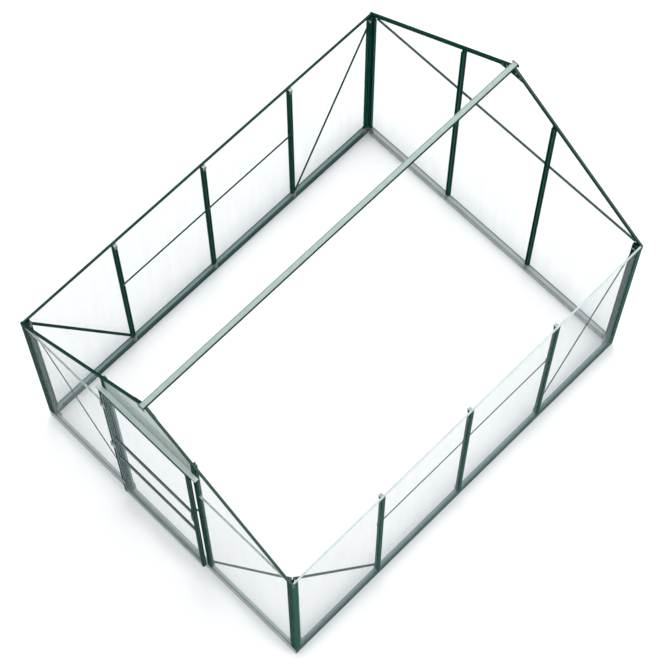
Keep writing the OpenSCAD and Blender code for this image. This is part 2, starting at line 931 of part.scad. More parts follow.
module hinge_leaf_plates() {
    color(steel_col) at_front() for (z = hinge_z) hinge_leaf_plate(z);
}

// angle from the post face out to the two outer knuckles
module hinge_frame_bracket(z) {
    arm_x = hinge_x - 3;
    k = knuckle_h / 2 + knuckle_gap;
    difference() {
        union() {
            box([arm_x, -hinge_t, z - hinge_h / 2], [-door_post_x + 8, 0, z + hinge_h / 2]);
            box([arm_x, hinge_y, z - hinge_h / 2], [arm_x + hinge_t, 0, z + hinge_h / 2]);
            knuckle(z - hinge_h / 2, z - k);
            knuckle(z + k, z + hinge_h / 2);
        }
        pin_bore(z);
        // room for the middle knuckle
        translate([hinge_x, hinge_y, z - k]) cylinder(h = 2 * k, r = barrel_r + knuckle_gap);
    }
}

module hinge_frame_brackets() {
    color(steel_col) at_front() for (z = hinge_z) hinge_frame_bracket(z);
}

module hinge_pin(z) {
    head = 1.5;
    translate([hinge_x, hinge_y, z - hinge_h / 2 - head]) union() {
        cylinder(h = hinge_h + 2 * head, r = pin_r);
        cylinder(h = head, r = barrel_r - 0.5);
        translate([0, 0, hinge_h + head]) cylinder(h = head, r = barrel_r - 0.5);
    }
}

module hinge_pins() {
    color(steel_col) at_front() for (z = hinge_z) hinge_pin(z);
}

module hinge_screws() {
    color(steel_col) at_front() for (z = hinge_z, dz = [-1, 1])
        translate([screw_x, leaf_y0 - hinge_t - 2, z + dz * screw_z]) rotate([-90, 0, 0]) union() {
            cylinder(h = 2, r = 2 * screw_r);
            cylinder(h = hinge_t + 7, r = screw_r);
        }
}

// ---------- turn latch ----------
module latch_handle() {
    boss_r = 11;
    boss_h = 7;
    lever_t = 6;
    face = leaf_y0 - panel_gap;
    color(plastic_col) at_front() union() {
        drill(latch_x, latch_z, boss_r, face - boss_h, face);
        drill(latch_x, latch_z, spindle_r, face - 1, cam_d + cam_t + 1.5);
        box([latch_x - 6, face - boss_h - lever_t + 2, latch_z - lever_l], [latch_x + 6, face - boss_h + 2, latch_z]);
        drill(latch_x, latch_z - lever_l, 6, face - boss_h - lever_t + 2, face - boss_h + 2);
    }
}

module latch_cam() {
    color(steel_col) at_front() difference() {
        union() {
            box([latch_x - cam_w / 2, cam_d, latch_z], [latch_x + cam_w / 2, cam_d + cam_t, latch_z + cam_reach]);
            drill(latch_x, latch_z, cam_w / 2, cam_d, cam_d + cam_t);
        }
        drill(latch_x, latch_z, spindle_r, cam_d - 1, cam_d + cam_t + 1);
    }
}

sill_front();
sill_back();
sill_left();
sill_right();
sill_corner_brackets();
post_front_left();
post_front_right();
post_back_left();
post_back_right();
side_posts_left();
side_posts_right();
gable_posts_back();
door_post_left();
door_post_right();
eave_beam_left();
eave_trim_right();
rafter_front_left();
rafter_front_right();
rafter_back_left();
rafter_back_right();
ridge_beam();
ridge_end_caps();
apex_gussets();
gusset_screws();
corner_caps();
gable_bars_back();
gable_bars_front();
mid_rail_left();
mid_rail_right();
braces_left();
braces_right();
braces_front();
panels_left();
panels_right();
panels_back_lower();
panels_back_upper();
panels_front_lower();
panels_front_upper();
head_panel();
head_rail();
door_header();
foot_plates();
post_top_brackets();
bolts();
nuts();
hinge_frame_brackets();
hinge_pins();
door_stile_hinge();
door_stile_latch();
door_top_rail();
door_bottom_rail();
door_mid_rails();
door_panes();
stile_caps();
hinge_leaf_plates();
hinge_screws();
latch_handle();
latch_cam();
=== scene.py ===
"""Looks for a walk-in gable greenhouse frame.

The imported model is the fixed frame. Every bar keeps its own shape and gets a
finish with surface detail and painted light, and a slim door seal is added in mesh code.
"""

import json
import logging
import math
from dataclasses import dataclass, field
from enum import Enum
from typing import Any, Iterable, Sequence

import bmesh
import bpy
from mathutils import Matrix, Vector

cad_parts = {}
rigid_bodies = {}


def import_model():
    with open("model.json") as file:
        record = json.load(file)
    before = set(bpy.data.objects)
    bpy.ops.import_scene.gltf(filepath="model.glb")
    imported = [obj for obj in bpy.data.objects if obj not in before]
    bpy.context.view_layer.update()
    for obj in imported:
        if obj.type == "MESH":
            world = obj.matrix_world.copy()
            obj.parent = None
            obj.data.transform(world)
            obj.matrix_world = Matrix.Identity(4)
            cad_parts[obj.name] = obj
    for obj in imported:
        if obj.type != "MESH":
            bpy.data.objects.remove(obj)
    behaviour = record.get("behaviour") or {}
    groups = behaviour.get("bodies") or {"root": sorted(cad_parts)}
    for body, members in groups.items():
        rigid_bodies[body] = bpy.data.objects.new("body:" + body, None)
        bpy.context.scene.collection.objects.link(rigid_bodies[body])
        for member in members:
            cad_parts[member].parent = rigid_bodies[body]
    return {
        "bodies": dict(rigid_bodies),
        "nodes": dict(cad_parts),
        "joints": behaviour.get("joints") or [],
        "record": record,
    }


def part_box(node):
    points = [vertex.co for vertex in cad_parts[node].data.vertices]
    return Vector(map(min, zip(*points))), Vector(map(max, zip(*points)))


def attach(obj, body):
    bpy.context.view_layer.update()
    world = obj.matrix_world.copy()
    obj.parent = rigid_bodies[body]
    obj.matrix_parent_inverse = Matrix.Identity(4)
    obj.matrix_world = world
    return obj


log = logging.getLogger("greenhouse")

Colour = tuple[float, float, float]


class Axis(Enum):
    """A direction of the model, as the index of its coordinate."""

    X = 0
    Y = 1
    Z = 2


class Slot(Enum):
    """The material slots that the record names."""

    GREEN = "green_frame"
    CLEAR = "clear_panel"
    STEEL = "plated_steel"
    PLASTIC = "moulded_plastic"


# ---------------------------------------------------------------- shader maths


class Value:
    """A number socket that Python operators turn into Math nodes."""

    def __init__(self, graph: "Graph", socket: bpy.types.NodeSocket) -> None:
        """Wraps a socket.

        Args:
            graph: The node graph that the socket belongs to.
            socket: The output socket that gives the number.
        """
        self.graph = graph
        self.socket = socket

    def _math(self, operation: str, *args: "Value | float") -> "Value":
        """Adds one Math node.

        Args:
            operation: Name of the Math operation.
            *args: The node's inputs in order.

        Returns:
            The node's result.
        """
        node = self.graph.node("ShaderNodeMath", {"operation": operation}, dict(enumerate(args)))
        return Value(self.graph, node.outputs[0])

    def __add__(self, other: "Value | float") -> "Value":
        """Sum of two numbers."""
        return self._math("ADD", self, other)

    def __radd__(self, other: float) -> "Value":
        """Sum with a plain number on the left."""
        return self._math("ADD", other, self)

    def __sub__(self, other: "Value | float") -> "Value":
        """Difference of two numbers."""
        return self._math("SUBTRACT", self, other)

    def __rsub__(self, other: float) -> "Value":
        """Difference with a plain number on the left."""
        return self._math("SUBTRACT", other, self)

    def __mul__(self, other: "Value | float") -> "Value":
        """Product of two numbers."""
        return self._math("MULTIPLY", self, other)

    def __rmul__(self, other: float) -> "Value":
        """Product with a plain number on the left."""
        return self._math("MULTIPLY", other, self)

    def __truediv__(self, other: "Value | float") -> "Value":
        """Quotient of two numbers."""
        return self._math("DIVIDE", self, other)

    def __abs__(self) -> "Value":
        """Size of a number without its sign."""
        return self._math("ABSOLUTE", self)

    def fract(self) -> "Value":
        """Part after the decimal point."""
        return self._math("FRACT", self)

    def clamp(self) -> "Value":
        """The number held between 0 and 1."""
        above = self._math("MAXIMUM", self, 0.0)
        return self._math("MINIMUM", above, 1.0)

    def step(self, low: float, high: float) -> "Value":
        """Smooth step of the number.

        Args:
            low: The number that gives 0.
            high: The number that gives 1.

        Returns:
            A smooth rise from 0 to 1.
        """
        settings = {"interpolation_type": "SMOOTHSTEP", "clamp": True}
        inputs = {"Value": self, "From Min": low, "From Max": high}
        node = self.graph.node("ShaderNodeMapRange", settings, inputs)
        return Value(self.graph, node.outputs[0])


class Graph:
    """The node graph of one material."""

    def __init__(self, name: str) -> None:
        """Makes an empty material.

        Args:
            name: Name of the material.
        """
        self.material = bpy.data.materials.new(name)
        self.material.use_nodes = True
        self.tree = self.material.node_tree
        self.tree.nodes.clear()

    def node(self, kind: str, settings: dict[str, Any], inputs: dict[Any, Any]) -> bpy.types.Node:
        """Adds any node.

        Args:
            kind: Type name of the node.
            settings: Its settings, set first.
            inputs: Values or links of its sockets, by name or number.

        Returns:
            The new node.
        """
        node = self.tree.nodes.new(kind)
        for key, value in settings.items():
            setattr(node, key, value)
        for key, value in inputs.items():
            if isinstance(value, Value):
                value = value.socket
            if isinstance(value, bpy.types.NodeSocket):
                self.tree.links.new(value, node.inputs[key])
            else:
                node.inputs[key].default_value = value
        return node

    def place(self) -> bpy.types.NodeSocket:
        """Place on the object in metres."""
        return self.node("ShaderNodeTexCoord", {}, {}).outputs["Object"]

    def along(self, axis: Axis) -> Value:
        """One coordinate of the place on the object.

        Args:
            axis: Which coordinate.

        Returns:
            The coordinate in metres.
        """
        split = self.node("ShaderNodeSeparateXYZ", {}, {0: self.place()})
        return Value(self, split.outputs[axis.value])

    def facing(self, axis: Axis) -> Value:
        """How far a face points along an axis of the object.

        Args:
            axis: Which axis.

        Returns:
            A number from -1 to 1.
        """
        normal = self.node("ShaderNodeTexCoord", {}, {}).outputs["Normal"]
        split = self.node("ShaderNodeSeparateXYZ", {}, {0: normal})
        return Value(self, split.outputs[axis.value])

    def noise(self, scale: float, detail: float = 3.0, stretch: Sequence[float] = (1, 1, 1)) -> Value:
        """Cloudy noise over the object.

        Args:
            scale: Clouds in a metre.
            detail: How many finer layers are added.
            stretch: Factor on each coordinate first.

        Returns:
            A number from 0 to 1.
        """
        mapping = self.node("ShaderNodeMapping", {}, {"Vector": self.place(), "Scale": tuple(stretch)})
        inputs = {"Vector": mapping.outputs[0], "Scale": scale, "Detail": detail, "Roughness": 0.55}
        return Value(self, self.node("ShaderNodeTexNoise", {}, inputs).outputs[0])

    def cells(self, scale: float) -> Value:
        """Distance to the nearest of many scattered points.

        Args:
            scale: Points in a metre.

        Returns:
            The distance, in parts of the spacing.
        """
        inputs = {"Vector": self.place(), "Scale": scale}
        return Value(self, self.node("ShaderNodeTexVoronoi", {}, inputs).outputs["Distance"])

    def blend(self, factor: "Value | float", low: Any, high: Any) -> bpy.types.NodeSocket:
        """Mixes two colours.

        Args:
            factor: 0 gives low and 1 gives high.
            low: A colour or a colour socket.
            high: A colour or a colour socket.

        Returns:
            The mixed colour.
        """
        low = (*low, 1.0) if isinstance(low, tuple) else low
        high = (*high, 1.0) if isinstance(high, tuple) else high
        node = self.node("ShaderNodeMix", {"data_type": "RGBA"}, {0: factor, 6: low, 7: high})
        return node.outputs[2]

    def bump(self, height: Value, depth: float, strength: float = 1.0) -> bpy.types.NodeSocket:
        """A bumped normal.

        Args:
            height: Height from 0 to 1.
            depth: Height in metres that 1 stands for.
            strength: How strong the bump is.

        Returns:
            The normal.
        """
        node = self.node("ShaderNodeBump", {}, {"Height": height, "Distance": depth, "Strength": strength})
        return node.outputs[0]

    def edges(self, radius: float) -> Value:
        """How near an outer edge a point is.

        Args:
            radius: How far the edge reaches, in metres.

        Returns:
            0 on flat faces and towards 1 on edges.
        """
        bevel = self.node("ShaderNodeBevel", {"samples": 4}, {"Radius": radius}).outputs[0]
        plain = self.node("ShaderNodeNewGeometry", {}, {}).outputs["Normal"]
        dot = self.node("ShaderNodeVectorMath", {"operation": "DOT_PRODUCT"}, {0: bevel, 1: plain})
        return (1 - Value(self, dot.outputs["Value"])).step(0.01, 0.25)

    def finish(self, **sockets: Any) -> bpy.types.Material:
        """Ends the graph in one Principled shader.

        Args:
            **sockets: Its inputs, with _ for a space in each name.

        Returns:
            The material.
        """
        inputs = {name.replace("_", " "): value for name, value in sockets.items()}
        shader = self.node("ShaderNodeBsdfPrincipled", {}, inputs)
        self.node("ShaderNodeOutputMaterial", {}, {"Surface": shader.outputs[0]})
        return self.material


# -------------------------------------------------------------------- finishes


@dataclass(frozen=True)
class PowderCoat:
    """Dark green powder coat over extruded aluminium, with painted top light, a painted side sheen and a
    painted edge highlight in its colour.

    Attributes:
        name: Name of the material.
        deep: Colour of the shaded coat.
        fresh: Colour of the coat where it is thicker.
        lines_and_top_light: Colour of the pale extrusion lines, and of the painted top light on faces that
            look up.
        top_light_amount: How strongly the painted top light covers the upper faces.
        grain: Direction that the extrusion lines follow.
        side: Colour of a painted sheen on the faces that point to +X, standing in for the light from that
            side.
        side_sheen_amount: How strongly that painted sheen covers those faces.
    """

    name: str
    deep: Colour = (0.002, 0.027, 0.019)
    fresh: Colour = (0.0035, 0.040, 0.028)
    lines_and_top_light: Colour = (0.13, 0.19, 0.165)
    top_light_amount: float = 0.35
    grain: Axis = Axis.Z
    side: Colour = (0.15, 0.245, 0.245)
    side_sheen_amount: float = 0.0

    def build(self) -> bpy.types.Material:
        """Builds the coat.

        Returns:
            The material.
        """
        g = Graph(self.name)
        stretch = [1.0, 1.0, 1.0]
        stretch[self.grain.value] = 0.02
        draw_lines = g.noise(900, 2.0, stretch)
        peel = g.noise(1400, 2.0)
        cloud = g.noise(9, 3.0)
        edge = g.edges(0.0006)
        coat = g.blend(cloud.step(0.35, 0.7), self.deep, self.fresh)
        coat = g.blend(draw_lines.step(0.5, 0.9) * 0.1, coat, self.lines_and_top_light)
        # Painted sheen: faces that point to +X take the side colour, standing in for light from that side.
        coat = g.blend(g.facing(Axis.X).step(0.7, 0.95) * self.side_sheen_amount, coat, self.side)
        # Painted top light: faces that look up, and slopes that look up towards +X, are blended towards the
        # pale colour as if lit from above.
        up = g.facing(Axis.Z)
        slope_up = up.step(0.55, 0.8) * g.facing(Axis.X).step(-0.1, 0.35)
        top_light_faces = (up.step(0.9, 0.98) + slope_up).clamp()
        painted_top_light = (top_light_faces * self.top_light_amount * (0.8 + 0.35 * g.noise(30, 4.0))).clamp()
        coat = g.blend(painted_top_light, coat, self.lines_and_top_light)
        # Painted highlight: edges are lightened towards pale green as if they catch the light.
        coat = g.blend(edge * 0.12, coat, (0.16, 0.22, 0.19))
        specks = 1 - g.cells(160).step(0.03, 0.09)
        coat = g.blend(specks * 0.06, coat, (0.3, 0.33, 0.3))
        rough = 0.36 + 0.16 * peel + 0.2 * painted_top_light
        height = 0.6 * peel + 0.4 * draw_lines
        return g.finish(
            Base_Color=coat, Roughness=rough, IOR=1.5, Specular_IOR_Level=0.005, Metallic=0.0,
            Normal=g.bump(height, 0.00012, 0.3),
        )


@dataclass(frozen=True)
class TwinWallBoard:
    """Clear hollow board with upright flutes.

    Attributes:
        name: Name of the material.
        across: Direction that crosses the flutes.
        tint: Colour of the board.
        haze: Part of the light that one face stops.
        pitch: Distance between the webs in metres.
        web_tone: Colour of the webs.
        web_amount: How far the webs show that colour.
    """

    name: str
    across: Axis
    tint: Colour = (0.13, 0.19, 0.21)
    haze: float = 0.13
    pitch: float = 0.0105
    web_tone: Colour = (0.42, 0.50, 0.52)
    web_amount: float = 0.4

    def build(self) -> bpy.types.Material:
        """Builds the board.

        Returns:
            The material.
        """
        g = Graph(self.name)
        cell = (g.along(self.across) / self.pitch).fract()
        web = abs(cell - 0.5).step(0.36, 0.5)
        stretch = [1.0, 1.0, 0.06]
        streak = g.noise(26, 4.0, stretch)
        dust = g.noise(7, 4.0)
        low = 1 - g.along(Axis.Z).step(0.05, 0.42)
        alpha = self.haze * (0.62 + 0.55 * streak) + 0.06 * web + 0.07 * low * (0.4 + 0.9 * dust)
        tone = g.blend(web * self.web_amount, self.tint, self.web_tone)
        tone = g.blend(low * 0.4 * dust, tone, (0.36, 0.42, 0.42))
        rough = 0.12 + 0.18 * dust
        return g.finish(
            Base_Color=tone, Alpha=alpha.clamp(), Roughness=rough, IOR=1.45,
            Normal=g.bump(web, 0.0003, 0.25),
        )


@dataclass(frozen=True)
class ClearTrim:
    """Clear grey plastic edging."""

    name: str = "clear edge trim"
    tint: Colour = (0.50, 0.58, 0.58)

    def build(self) -> bpy.types.Material:
        """Builds the edging.

        Returns:
            The material.
        """
        g = Graph(self.name)
        cloud = g.noise(40, 3.0)
        lines = g.noise(700, 2.0, (1.0, 0.02, 1.0))
        tone = g.blend(cloud.step(0.3, 0.75), self.tint, (0.62, 0.69, 0.69))
        return g.finish(
            Base_Color=tone, Alpha=0.62 + 0.1 * cloud, Roughness=0.22 + 0.2 * lines, IOR=1.45,
            Normal=g.bump(lines, 0.0001, 0.3),
        )


@dataclass(frozen=True)
class PlatedSteel:
    """Zinc plated steel with a fine spangle."""

    name: str = "zinc plated steel"
    bright: Colour = (0.30, 0.33, 0.33)
    dull: Colour = (0.13, 0.15, 0.15)

    def build(self) -> bpy.types.Material:
        """Builds the plating.

        Returns:
            The material.
        """
        g = Graph(self.name)
        spangle = g.cells(420)
        cloud = g.noise(60, 4.0)
        tone = g.blend((0.6 * spangle + 0.5 * cloud).clamp(), self.dull, self.bright)
        tone = g.blend(g.edges(0.0005) * 0.5, tone, (0.72, 0.74, 0.74))
        white_rust = g.noise(170, 3.0).step(0.62, 0.8)
        tone = g.blend(white_rust * 0.35, tone, (0.62, 0.63, 0.60))
        return g.finish(
            Base_Color=tone, Metallic=1 - 0.6 * white_rust, Roughness=0.28 + 0.25 * cloud,
            Normal=g.bump(spangle, 0.00008, 0.25),
        )


@dataclass(frozen=True)
class MouldedPlastic:
    """Dark moulded plastic with a spark-eroded grain."""

    name: str = "moulded plastic"
    tone: Colour = (0.012, 0.022, 0.018)

    def build(self) -> bpy.types.Material:
        """Builds the plastic.

        Returns:
            The material.
        """
        g = Graph(self.name)
        grain = g.noise(2200, 2.0)
        cloud = g.noise(50, 3.0)
        tone = g.blend(cloud.step(0.35, 0.8), self.tone, (0.03, 0.045, 0.04))
        tone = g.blend(g.edges(0.0008) * 0.3, tone, (0.12, 0.14, 0.13))
        return g.finish(
            Base_Color=tone, Roughness=0.42 + 0.2 * grain, IOR=1.5, Normal=g.bump(grain, 0.00012, 0.5)
        )


@dataclass(frozen=True)
class SealRubber:
    """Soft black sealing rubber."""

    name: str = "sealing rubber"
    tone: Colour = (0.012, 0.012, 0.013)

    def build(self) -> bpy.types.Material:
        """Builds the rubber.

        Returns:
            The material.
        """
        g = Graph(self.name)
        bloom = g.noise(90, 4.0)
        fine = g.noise(1800, 2.0)
        tone = g.blend(bloom.step(0.45, 0.85), self.tone, (0.06, 0.065, 0.065))
        return g.finish(
            Base_Color=tone, Roughness=0.6 + 0.25 * fine, IOR=1.5, Normal=g.bump(fine, 0.0001, 0.4)
        )


@dataclass(frozen=True)
class StudioPaper:
    """Plain pale floor."""

    name: str = "studio floor"
    tone: Colour = (0.95, 0.95, 0.95)

    def build(self) -> bpy.types.Material:
        """Builds the floor paper.

        Returns:
            The material.
        """
        g = Graph(self.name)
        cloud = g.noise(3, 2.0)
        tone = g.blend(cloud, self.tone, (0.965, 0.965, 0.965))
        return g.finish(Base_Color=tone, Roughness=0.9, IOR=1.3)


# --------------------------------------------------------------- mesh building


class Pieces:
    """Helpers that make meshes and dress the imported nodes."""

    @staticmethod
    def dress(names: Iterable[str], material: bpy.types.Material, bevel: float = 0.0) -> None:
        """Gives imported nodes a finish.

        Args:
            names: The nodes.
            material: The finish.
            bevel: Width of the rounding on their edges in metres, 0 for none.
        """
        for name in names:
            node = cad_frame()["nodes"][name]
            node.data.materials.clear()
            node.data.materials.append(material)
            if bevel:
                rounding = node.modifiers.new("softened edges", "BEVEL")
                rounding.width = bevel
                rounding.segments = 2
                rounding.limit_method = "ANGLE"
                rounding.angle_limit = math.radians(50)
                rounding.harden_normals = False

    @staticmethod
    def run(
        name: str, profile: Sequence[tuple[float, float]], path: Sequence[Vector], side: Vector
    ) -> bpy.types.Object:
        """Sweeps a closed profile along straight runs.

        Args:
            name: Name of the piece.
            profile: Points across the run, as (sideways, outwards) in metres.
            path: Points that the run passes.
            side: Sideways direction of the profile.

        Returns:
            The piece.
        """
        mesh = bmesh.new()
        rings = []
        for i, point in enumerate(path):
            ahead = (path[min(i + 1, len(path) - 1)] - path[max(i - 1, 0)]).normalized()
            out = ahead.cross(side).normalized()
            rings.append([mesh.verts.new(point + side * a + out * b) for a, b in profile])
        count = len(profile)
        for first, second in zip(rings, rings[1:]):
            for k in range(count):
                mesh.faces.new((first[k], first[(k + 1) % count], second[(k + 1) % count], second[k]))
        mesh.faces.new(list(reversed(rings[0])))
        mesh.faces.new(rings[-1])
        bmesh.ops.recalc_face_normals(mesh, faces=mesh.faces)
        data = bpy.data.meshes.new(name)
        mesh.to_mesh(data)
        mesh.free()
        for face in data.polygons:
            face.use_smooth = True
        piece = bpy.data.objects.new(name, data)
        bpy.context.collection.objects.link(piece)
        return piece


_loaded: dict[str, Any] = {}


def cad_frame() -> dict[str, Any]:
    """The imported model, loaded once."""
    if not _loaded:
        _loaded.update(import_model())
    return _loaded


# -------------------------------------------------------------- sub-assemblies


@dataclass
class BaseRail:
    """Ribbed base rail.

    Attributes:
        across: Nodes that run along X.
        along: Nodes that run along Y.
        bevel: Rounding of their edges in metres.
    """

    across: tuple[str, ...] = ("sill_front", "sill_back")
    along: tuple[str, ...] = ("sill_left", "sill_right")
    bevel: float = 0.0003

    def build(self) -> None:
        """Dresses the rail."""
        # Both coats paint strong pale top light on the rail tops.
        gable = PowderCoat(
            "base rail coat across", deep=(0.31, 0.34, 0.335), fresh=(0.40, 0.435, 0.43),
            lines_and_top_light=(0.42, 0.46, 0.455), top_light_amount=0.9, grain=Axis.X,
        )
        side = PowderCoat(
            "base rail coat along", deep=(0.02, 0.055, 0.05), fresh=(0.04, 0.08, 0.075),
            lines_and_top_light=(0.22, 0.31, 0.305), top_light_amount=0.9, grain=Axis.Y,
        )
        Pieces.dress(self.across, gable.build(), self.bevel)
        Pieces.dress(self.along, side.build(), self.bevel)
        log.info("base rail %s", ", ".join(self.across + self.along))


@dataclass
class Uprights:
    """Corner posts, side posts and gable posts."""

    nodes: tuple[str, ...] = (
        "post_front_left", "post_front_right", "post_back_left", "post_back_right",
        "side_posts_left", "side_posts_right", "gable_posts_back", "door_post_right",
    )
    hinge_side: tuple[str, ...] = ("door_post_left",)
    bevel: float = 0.0003

    def build(self) -> None:
        """Dresses the posts."""
        # The +X faces of these posts get a painted sheen in a lighter dark green.
        coat = PowderCoat("post coat", side=(0.010, 0.075, 0.053), side_sheen_amount=0.85).build()
        Pieces.dress(self.nodes, coat, self.bevel)
        # The +X faces of the hinge post get a pale painted sheen.
        pale = PowderCoat("hinge post coat", side=(0.20, 0.31, 0.31), side_sheen_amount=0.85).build()
        Pieces.dress(self.hinge_side, pale, self.bevel)
        log.info("uprights: %d nodes", len(self.nodes + self.hinge_side))


@dataclass
class RoofBars:
    """Rafters, ridge, eave members and their caps."""

    sloping: tuple[str, ...] = (
        "rafter_front_left", "rafter_front_right", "rafter_back_left", "rafter_back_right",
        "gable_bars_back",
    )
    joints: tuple[str, ...] = ("gable_bars_front",)
    # These bars are made pale by strong painted top light.
    pale: tuple[str, ...] = ("head_rail", "door_header")
    ridge: tuple[str, ...] = ("ridge_beam",)
    level: tuple[str, ...] = ("eave_beam_left",)
    gussets: tuple[str, ...] = ("apex_gussets",)
    caps: tuple[str, ...] = ("ridge_end_caps", "corner_caps")
    bevel: float = 0.0003

    def build(self, plastic: bpy.types.Material) -> None:
        """Dresses the roof bars.

        Args:
            plastic: Finish of the caps.
        """
        Pieces.dress(self.sloping, PowderCoat("rafter coat", grain=Axis.X).build(), self.bevel)
        # The head rail and door header get strong pale painted top light.
        head = PowderCoat("door head coat", lines_and_top_light=(0.56, 0.65, 0.62), top_light_amount=1.0, grain=Axis.X)
        Pieces.dress(self.pale, head.build(), self.bevel)
        # The ridge gets strong pale painted top light.
        crest = PowderCoat("ridge coat", lines_and_top_light=(0.36, 0.44, 0.41), top_light_amount=0.95, grain=Axis.Y)
        Pieces.dress(self.ridge, crest.build(), self.bevel)
        Pieces.dress(self.level, PowderCoat("eave coat", top_light_amount=0.15, grain=Axis.Y).build(), self.bevel)
        Pieces.dress(self.gussets, PowderCoat("gusset coat", grain=Axis.X).build(), self.bevel)
        Pieces.dress(self.caps, plastic, 0.0005)
        Pieces.dress(("eave_trim_right",), ClearTrim().build())
        Pieces.dress(self.joints, ClearTrim("clear joint strip", tint=(0.30, 0.36, 0.355)).build())
        bars = self.sloping + self.joints + self.pale + self.ridge + self.level
        log.info("roof bars: %d nodes and %d gussets and caps", len(bars), len(self.gussets + self.caps))


@dataclass
class Bracing:
    """Flat braces and middle rails inside the walls."""

    side: tuple[str, ...] = ("braces_left", "braces_right", "mid_rail_left", "mid_rail_right")
    gable: tuple[str, ...] = ("braces_front",)
    bevel: float = 0.0003

    def build(self) -> None:
        """Dresses the braces."""
        Pieces.dress(self.side, PowderCoat("brace coat", top_light_amount=0.2).build(), self.bevel)
        grey = PowderCoat(
            "gable brace coat", deep=(0.07, 0.095, 0.09), fresh=(0.11, 0.14, 0.135), grain=Axis.X
        )
        Pieces.dress(self.gable, grey.build(), self.bevel)
        log.info("bracing: %d nodes", len(self.side + self.gable))


@dataclass
class WallPanels:
    """Hollow clear boards of the walls and the door."""

    side: tuple[str, ...] = ("panels_left", "panels_right")
    gable: tuple[str, ...] = (
        "panels_back_lower", "panels_back_upper", "panels_front_lower", "panels_front_upper", "door_panes",
    )
    head: tuple[str, ...] = ("head_panel",)

    def build(self) -> None:
        """Dresses the boards."""
        Pieces.dress(self.side, TwinWallBoard("side wall board", Axis.Y).build())
        Pieces.dress(self.gable, TwinWallBoard("gable wall board", Axis.X).build())
        # The near-opaque pale tint paints in the light and shade seen through this clear board; the dark
        # lines are its flutes.
        head = TwinWallBoard(
            "door head board", Axis.Z, tint=(0.36, 0.44, 0.415), haze=0.9, pitch=0.036,
            web_tone=(0.05, 0.08, 0.07), web_amount=0.75,
        )
        Pieces.dress(self.head, head.build())
        log.info("wall panels: %d nodes", len(self.side + self.gable + self.head))


@dataclass
class Hardware:
    """Brackets, bolts and hinges."""

    plates: tuple[str, ...] = (
        "sill_corner_brackets", "foot_plates", "post_top_brackets", "hinge_frame_brackets",
        "hinge_leaf_plates",
    )
    small: tuple[str, ...] = ("bolts", "nuts", "gusset_screws", "hinge_pins", "hinge_screws", "latch_cam")
    bevel: float = 0.0004

    def build(self) -> None:
        """Dresses the fixings."""
        zinc = PlatedSteel().build()
        Pieces.dress(self.plates, zinc, self.bevel)
        Pieces.dress(self.small, zinc)
        log.info("hardware: %d nodes", len(self.plates + self.small))


@dataclass
class DoorLeaf:
    """Hinged door leaf with a lip seal down its latch side.

    Attributes:
        hinge_stile: Upright bar on the hinge side.
        latch_stile: Upright bar on the latch side.
        rails: Level bars of the leaf.
        kick_rails: Level bars that weather like the base rail.
        seal_w: Width of the lip seal in metres.
    """

    hinge_stile: tuple[str, ...] = ("door_stile_hinge",)
    latch_stile: tuple[str, ...] = ("door_stile_latch",)
    # kick_rails: Level bars that get a grey coat like the base rails that run along X.
    rails: tuple[str, ...] = ("door_top_rail", "door_mid_rails")
    kick_rails: tuple[str, ...] = ("door_bottom_rail",)
    seal_w: float = 0.0035
    bevel: float = 0.0005

    def build(self, plastic: bpy.types.Material, rubber: bpy.types.Material) -> None:
        """Dresses the leaf and adds its seal.

        Args:
            plastic: Finish of the stile plugs.
            rubber: Finish of the seal.
        """
        # The +X faces of the hinge stile get a pale painted sheen.
        pale = PowderCoat("hinge stile coat", side=(0.33, 0.46, 0.46), side_sheen_amount=0.9)
        Pieces.dress(self.hinge_stile, pale.build(), self.bevel)
        # The +X faces of the latch stile get a painted sheen in a lighter dark green.
        dark = PowderCoat("latch stile coat", side=(0.010, 0.075, 0.053), side_sheen_amount=0.85)
        Pieces.dress(self.latch_stile, dark.build(), self.bevel)
        kick = PowderCoat("kick rail coat", deep=(0.29, 0.32, 0.315), fresh=(0.38, 0.415, 0.41), grain=Axis.X)
        Pieces.dress(self.kick_rails, kick.build(), self.bevel)
        rail_coat = PowderCoat(
            "leaf rail coat", deep=(0.10, 0.135, 0.125), fresh=(0.14, 0.18, 0.17), grain=Axis.X
        )
        Pieces.dress(self.rails, rail_coat.build(), self.bevel)
        Pieces.dress(("stile_caps",), plastic, 0.0005)
        self.seal(rubber)
        bars = self.hinge_stile + self.latch_stile + self.rails + self.kick_rails
        log.info("door leaf: %d nodes and a seal", len(bars))

    def seal(self, rubber: bpy.types.Material) -> None:
        """Adds the lip seal along the latch stile.

        Args:
            rubber: Finish of the seal.
        """
        low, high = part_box("door_stile_latch")
        x = high[0]
        y = (low[1] + high[1]) / 2
        w = self.seal_w
        profile = [
            (-0.003, 0.0), (0.003, 0.0), (0.0022, w * 0.4), (0.0008, w * 0.55), (0.0005, w),
            (-0.0005, w), (-0.0008, w * 0.55), (-0.0022, w * 0.4),
        ]
        clear = 0.0001
        inset = 0.004
        steps = 24
        bottom = low[2] + inset
        rise = high[2] - low[2] - 2 * inset
        path = [Vector((x + clear, y, bottom + rise * i / steps)) for i in range(steps + 1)]
        piece = Pieces.run("door_lip_seal", profile, path, Vector((0, -1, 0)))
        centre = sum((Vector(c) for c in piece.bound_box), Vector()) / 8
        if centre.x < x:
            mirror = Matrix.Scale(-1, 4, (1, 0, 0))
            to_stile = Matrix.Translation((x, 0, 0))
            piece.data.transform(to_stile @ mirror @ to_stile.inverted())
            piece.data.flip_normals()
        piece.data.materials.append(rubber)
        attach(piece, "door")


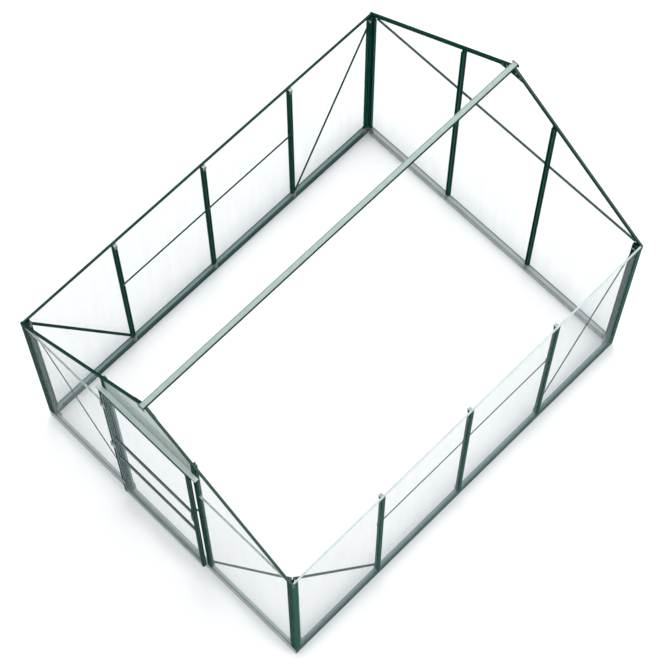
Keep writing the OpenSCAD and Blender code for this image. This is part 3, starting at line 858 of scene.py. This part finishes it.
@dataclass
class TurnLatch:
    """Lever latch on the door."""

    nodes: tuple[str, ...] = ("latch_handle",)

    def build(self, plastic: bpy.types.Material) -> None:
        """Dresses the latch.

        Args:
            plastic: Finish of the lever.
        """
        Pieces.dress(self.nodes, plastic, 0.0012)
        log.info("turn latch")


# ---------------------------------------------------------------------- studio


@dataclass
class SoftBox:
    """One soft light.

    Attributes:
        name: Name of the light.
        place: Where it hangs, in metres.
        size: Its width and height in metres.
        power: Its power in watts.
        tone: Its colour.
    """

    name: str
    place: Colour
    size: tuple[float, float]
    power: float
    tone: Colour = (1.0, 1.0, 1.0)

    def build(self, target: Vector) -> None:
        """Hangs the light.

        Args:
            target: Where it points.
        """
        lamp = bpy.data.lights.new(self.name, "AREA")
        lamp.shape = "RECTANGLE"
        lamp.size, lamp.size_y = self.size
        lamp.energy = self.power
        lamp.color = self.tone
        holder = bpy.data.objects.new(self.name, lamp)
        holder.location = self.place
        holder.rotation_euler = (target - Vector(self.place)).to_track_quat("-Z", "Y").to_euler()
        bpy.context.collection.objects.link(holder)


@dataclass
class Studio:
    """Pale floor, soft lights and the camera.

    Attributes:
        eye: Place of the camera in metres.
        gaze: Direction that the camera looks.
        upright: Direction that is up in the picture.
        lens: Focal length in millimetres on a 36 mm wide sensor.
        floor: Half width of the floor in metres.
        sky: Strength of the even light.
    """

    eye: Colour = (3.126, -3.183, 11.717)
    gaze: Colour = (-0.263, 0.267, -0.927)
    upright: Colour = (-0.653, 0.658, 0.375)
    lens: float = 121.3
    floor: float = 40.0
    sky: float = 1.1
    lights: list[SoftBox] = field(default_factory=lambda: [
        SoftBox("overhead softbox", (-2.0, 2.4, 7.0), (4.5, 4.5), 190.0),
        SoftBox("side softbox", (6.0, 1.6, 5.0), (3.5, 3.5), 90.0),
    ])

    def build(self) -> None:
        """Builds floor, world, lights and camera."""
        self.lay_floor()
        self.light_world()
        for light in self.lights:
            light.build(Vector((0.0, 0.0, 0.8)))
        self.set_camera()
        log.info("studio with %d lights", len(self.lights))

    def lay_floor(self) -> None:
        """Lays the pale floor just under the base rail."""
        mesh = bmesh.new()
        h = self.floor
        corners = [mesh.verts.new((x, y, -0.0005)) for x, y in ((-h, -h), (h, -h), (h, h), (-h, h))]
        mesh.faces.new(corners)
        data = bpy.data.meshes.new("floor")
        mesh.to_mesh(data)
        mesh.free()
        piece = bpy.data.objects.new("floor", data)
        bpy.context.collection.objects.link(piece)
        piece.data.materials.append(StudioPaper().build())

    def light_world(self) -> None:
        """Gives the even light of a white room."""
        world = bpy.data.worlds.new("studio")
        world.use_nodes = True
        back = world.node_tree.nodes["Background"]
        back.inputs[0].default_value = (0.97, 0.985, 1.0, 1.0)
        back.inputs[1].default_value = self.sky
        bpy.context.scene.world = world
        bpy.context.scene.view_settings.view_transform = "Standard"

    def set_camera(self) -> None:
        """Sets the camera."""
        camera = bpy.data.cameras.new("camera")
        camera.sensor_width = 36.0
        camera.lens = self.lens
        camera.clip_end = 100.0
        holder = bpy.data.objects.new("camera", camera)
        back = -Vector(self.gaze).normalized()
        right = Vector(self.upright).cross(back).normalized()
        up = back.cross(right).normalized()
        holder.matrix_world = Matrix.Translation(self.eye) @ Matrix((right, up, back)).transposed().to_4x4()
        bpy.context.collection.objects.link(holder)
        bpy.context.scene.camera = holder


def main() -> None:
    """Builds the whole scene in order."""
    logging.basicConfig(level=logging.INFO, format="%(name)s: %(message)s")
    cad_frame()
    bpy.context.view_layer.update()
    plastic = MouldedPlastic().build()
    rubber = SealRubber().build()
    BaseRail().build()
    Uprights().build()
    RoofBars().build(plastic)
    Bracing().build()
    WallPanels().build()
    Hardware().build()
    DoorLeaf().build(plastic, rubber)
    TurnLatch().build(plastic)
    Studio().build()
    bpy.context.view_layer.update()


if __name__ == "__main__":
    main()
